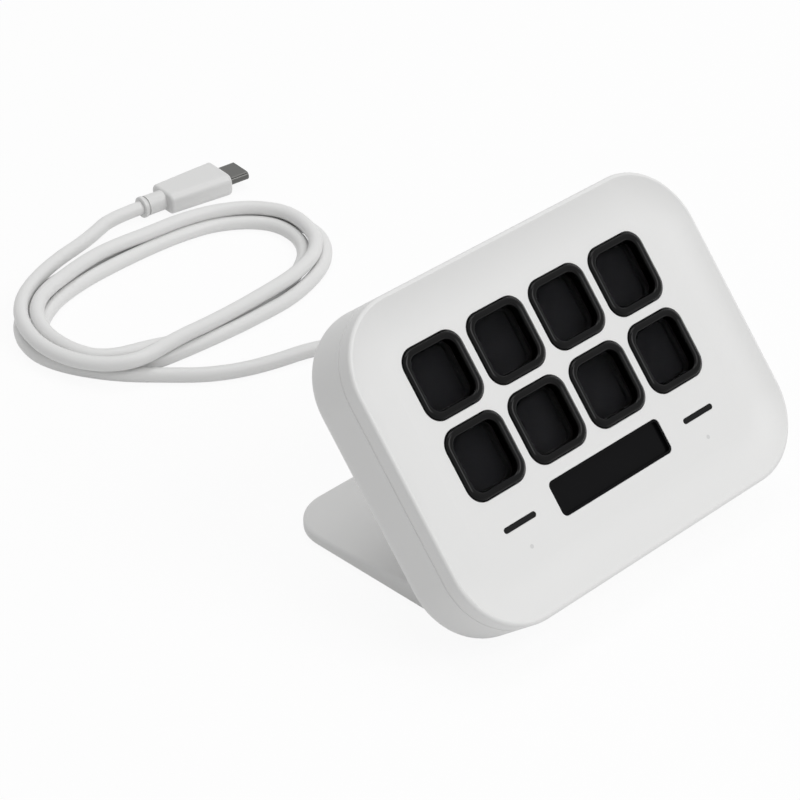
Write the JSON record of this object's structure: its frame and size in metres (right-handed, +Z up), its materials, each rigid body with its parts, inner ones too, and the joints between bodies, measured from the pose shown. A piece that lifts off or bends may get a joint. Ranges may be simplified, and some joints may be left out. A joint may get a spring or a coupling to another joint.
{
  "type": "desktop display keypad",
  "caption": "Desktop keypad: rounded, dished panel leaning on a bent foot, with square display keys, an information window and a loosely coiled cord that ends in a plug.",
  "frame": {"origin": "middle of the object's footprint on the desk, without the free cord and plug", "axes": "+X along the width, to the right as the user sees the face; +Y backwards, from the user to the foot's rear edge; +Z up"},
  "size_m": [0.1134, 0.2139, 0.0701],
  "materials": {
    "cover_white": "fine matte, slightly warm white",
    "stand_white": "fine matte, as the covers",
    "foot_rubber": "matte grey-black",
    "cap_black": "high gloss",
    "lens_clear": "clear, polished, slightly hollow",
    "window_dark": "smoked, polished",
    "light_bar": "milky diffuser",
    "silicone": "translucent silicone",
    "guide_black": "fine matte black",
    "display": "display glass, off",
    "tray_steel": "zinc plated sheet",
    "board_green": "solder mask",
    "chip_black": "moulded",
    "flex_amber": "polyimide",
    "connector_cream": "moulded",
    "touch_copper": "copper foil",
    "wire_colours": "insulation",
    "screw_steel": "plated",
    "cord_white": "smooth jacket, satin",
    "plug_white": "moulded, satin",
    "plug_steel": "drawn shell"
  },
  "bodies": {
    "housing": {"front_cover": "cover_white", "rear_cover": "cover_white", "stand": "stand_white", "foot_pad_front": "foot_rubber", "foot_pad_rear": "foot_rubber", "key_guide": "guide_black", "key_mat": "silicone", "lcd_panel": "display", "info_panel": "display", "info_window": "window_dark", "lcd_tray": "tray_steel", "main_board": "board_green", "board_chips": "chip_black", "display_flex": "flex_amber", "flex_connector": "connector_cream", "cable_socket": "connector_cream", "inner_wires": "wire_colours", "light_bar_left": "light_bar", "light_bar_right": "light_bar", "touch_pad_left": "touch_copper", "touch_pad_right": "touch_copper", "touch_contacts": "touch_copper", "case_screws": "screw_steel", "tray_screws": "screw_steel", "board_screws": "screw_steel", "stand_screws": "screw_steel", "cord_gland": "cord_white", "cord_lead": "cord_white", "cord_coil": "cord_white", "cord_end": "cord_white", "plug_collar": "plug_white", "plug_grip": "plug_white", "plug_metal": "plug_steel", "key_dome_1": "silicone", "key_dome_2": "silicone", "key_dome_3": "silicone", "key_dome_4": "silicone", "key_dome_5": "silicone", "key_dome_6": "silicone", "key_dome_7": "silicone", "key_dome_8": "silicone"},
    "key_1": {"key_cap_1": "cap_black", "key_lens_1": "lens_clear"},
    "key_2": {"key_cap_2": "cap_black", "key_lens_2": "lens_clear"},
    "key_3": {"key_cap_3": "cap_black", "key_lens_3": "lens_clear"},
    "key_4": {"key_cap_4": "cap_black", "key_lens_4": "lens_clear"},
    "key_5": {"key_cap_5": "cap_black", "key_lens_5": "lens_clear"},
    "key_6": {"key_cap_6": "cap_black", "key_lens_6": "lens_clear"},
    "key_7": {"key_cap_7": "cap_black", "key_lens_7": "lens_clear"},
    "key_8": {"key_cap_8": "cap_black", "key_lens_8": "lens_clear"}
  },
  "joints": [
    {"name": "key_1_press", "type": "slide", "parent": "housing", "child": "key_1", "axis": [0, 0.766, -0.6428], "range_m": [0, 0.001], "stiffness_N_per_m": 400, "springref_m": -0.0005, "deforming": ["key_dome_1"]},
    {"name": "key_2_press", "type": "slide", "parent": "housing", "child": "key_2", "axis": [0, 0.766, -0.6428], "range_m": [0, 0.001], "stiffness_N_per_m": 400, "springref_m": -0.0005, "deforming": ["key_dome_2"]},
    {"name": "key_3_press", "type": "slide", "parent": "housing", "child": "key_3", "axis": [0, 0.766, -0.6428], "range_m": [0, 0.001], "stiffness_N_per_m": 400, "springref_m": -0.0005, "deforming": ["key_dome_3"]},
    {"name": "key_4_press", "type": "slide", "parent": "housing", "child": "key_4", "axis": [0, 0.766, -0.6428], "range_m": [0, 0.001], "stiffness_N_per_m": 400, "springref_m": -0.0005, "deforming": ["key_dome_4"]},
    {"name": "key_5_press", "type": "slide", "parent": "housing", "child": "key_5", "axis": [0, 0.766, -0.6428], "range_m": [0, 0.001], "stiffness_N_per_m": 400, "springref_m": -0.0005, "deforming": ["key_dome_5"]},
    {"name": "key_6_press", "type": "slide", "parent": "housing", "child": "key_6", "axis": [0, 0.766, -0.6428], "range_m": [0, 0.001], "stiffness_N_per_m": 400, "springref_m": -0.0005, "deforming": ["key_dome_6"]},
    {"name": "key_7_press", "type": "slide", "parent": "housing", "child": "key_7", "axis": [0, 0.766, -0.6428], "range_m": [0, 0.001], "stiffness_N_per_m": 400, "springref_m": -0.0005, "deforming": ["key_dome_7"]},
    {"name": "key_8_press", "type": "slide", "parent": "housing", "child": "key_8", "axis": [0, 0.766, -0.6428], "range_m": [0, 0.001], "stiffness_N_per_m": 400, "springref_m": -0.0005, "deforming": ["key_dome_8"]}
  ]
}
